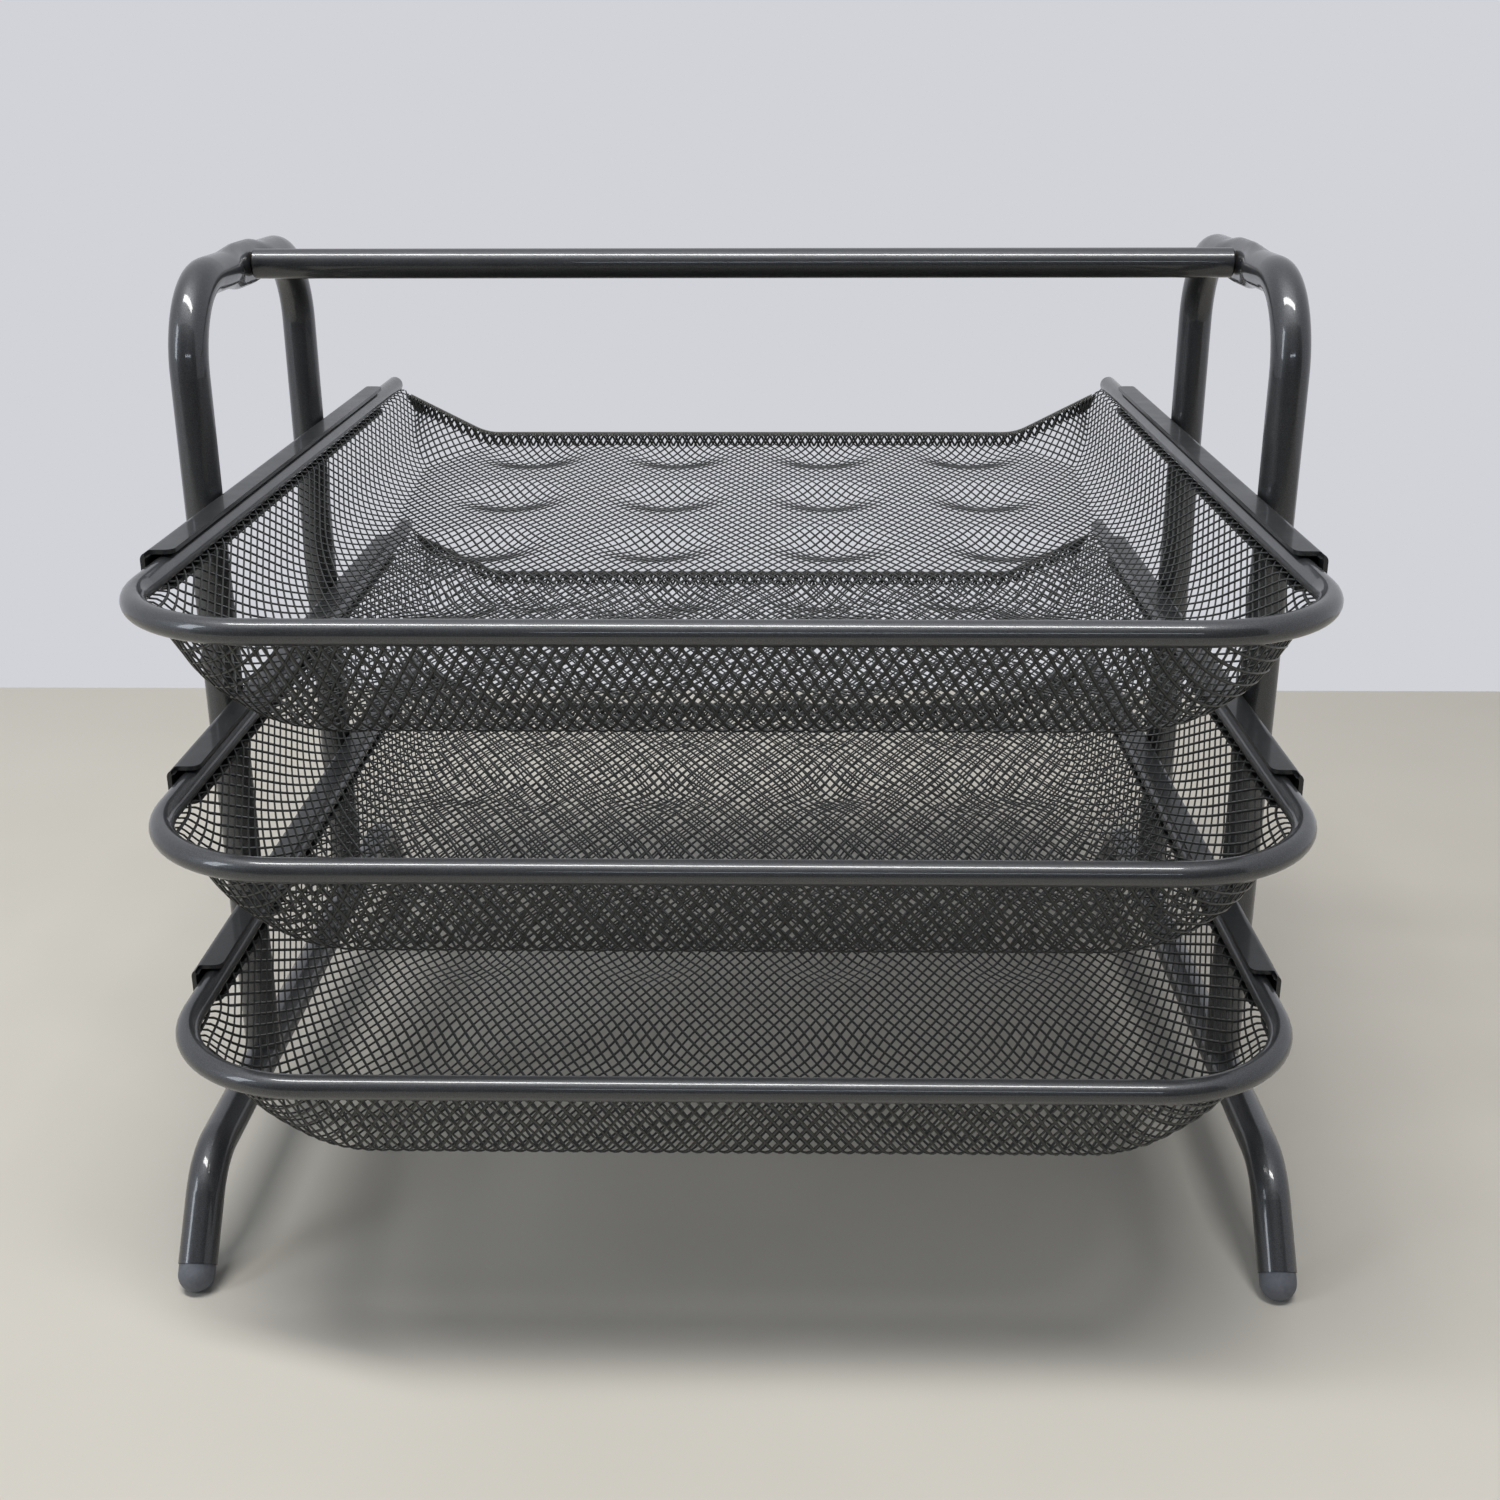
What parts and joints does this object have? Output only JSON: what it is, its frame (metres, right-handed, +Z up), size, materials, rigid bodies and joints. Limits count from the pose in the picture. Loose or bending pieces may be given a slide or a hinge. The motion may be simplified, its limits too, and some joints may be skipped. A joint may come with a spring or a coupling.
{
  "type": "stack of letter trays",
  "caption": "Desk letter tray stack: wire-mesh trays on U-shaped rod rims slide forward in channel rails on a bent-tube side frame with a carrying bar and capped feet.",
  "frame": {"origin": "middle of the overall box at rest, on the surface that the foot caps stand on", "axes": "+X to the object's right, -Y to the front, where the trays pull out, +Z up"},
  "size_m": [0.3206, 0.354, 0.2799],
  "materials": {
    "tube_paint": "semi-gloss metallic dark grey paint on steel tube",
    "rim_paint": "semi-gloss metallic dark grey paint on steel rod",
    "rail_paint": "semi-gloss metallic dark grey paint on folded sheet steel",
    "mesh_paint": "metallic grey paint on steel mesh",
    "strip_paint": "metallic grey paint on a flat steel strip",
    "cap_plastic": "matt blue-grey moulded plastic",
    "screw_steel": "dark plated steel",
    "insert_brass": "plain turned brass"
  },
  "bodies": {
    "root": {"left_bottom_rail": "rail_paint", "right_bottom_rail": "rail_paint", "left_middle_rail": "rail_paint", "right_middle_rail": "rail_paint", "left_top_rail": "rail_paint", "right_top_rail": "rail_paint", "left_hoop": "tube_paint", "left_base_tube": "tube_paint", "front_left_foot_cap": "cap_plastic", "rear_left_foot_cap": "cap_plastic", "right_hoop": "tube_paint", "right_base_tube": "tube_paint", "front_right_foot_cap": "cap_plastic", "rear_right_foot_cap": "cap_plastic", "handle_bar": "tube_paint", "handle_inserts": "insert_brass", "handle_screws": "screw_steel"},
    "bottom_tray": {"bottom_tray_rim": "rim_paint", "bottom_tray_basket": "mesh_paint", "bottom_tray_edge_strip": "strip_paint"},
    "middle_tray": {"middle_tray_rim": "rim_paint", "middle_tray_basket": "mesh_paint", "middle_tray_edge_strip": "strip_paint"},
    "top_tray": {"top_tray_rim": "rim_paint", "top_tray_basket": "mesh_paint", "top_tray_edge_strip": "strip_paint"}
  },
  "joints": [
    {"name": "top_tray_slide", "type": "slide", "parent": "root", "child": "top_tray", "axis": [0, -1, 0], "range_m": [-0.012, 0.24]},
    {"name": "middle_tray_slide", "type": "slide", "parent": "root", "child": "middle_tray", "axis": [0, -1, 0], "range_m": [-0.012, 0.24]},
    {"name": "bottom_tray_slide", "type": "slide", "parent": "root", "child": "bottom_tray", "axis": [0, -1, 0], "range_m": [-0.012, 0.24]}
  ]
}
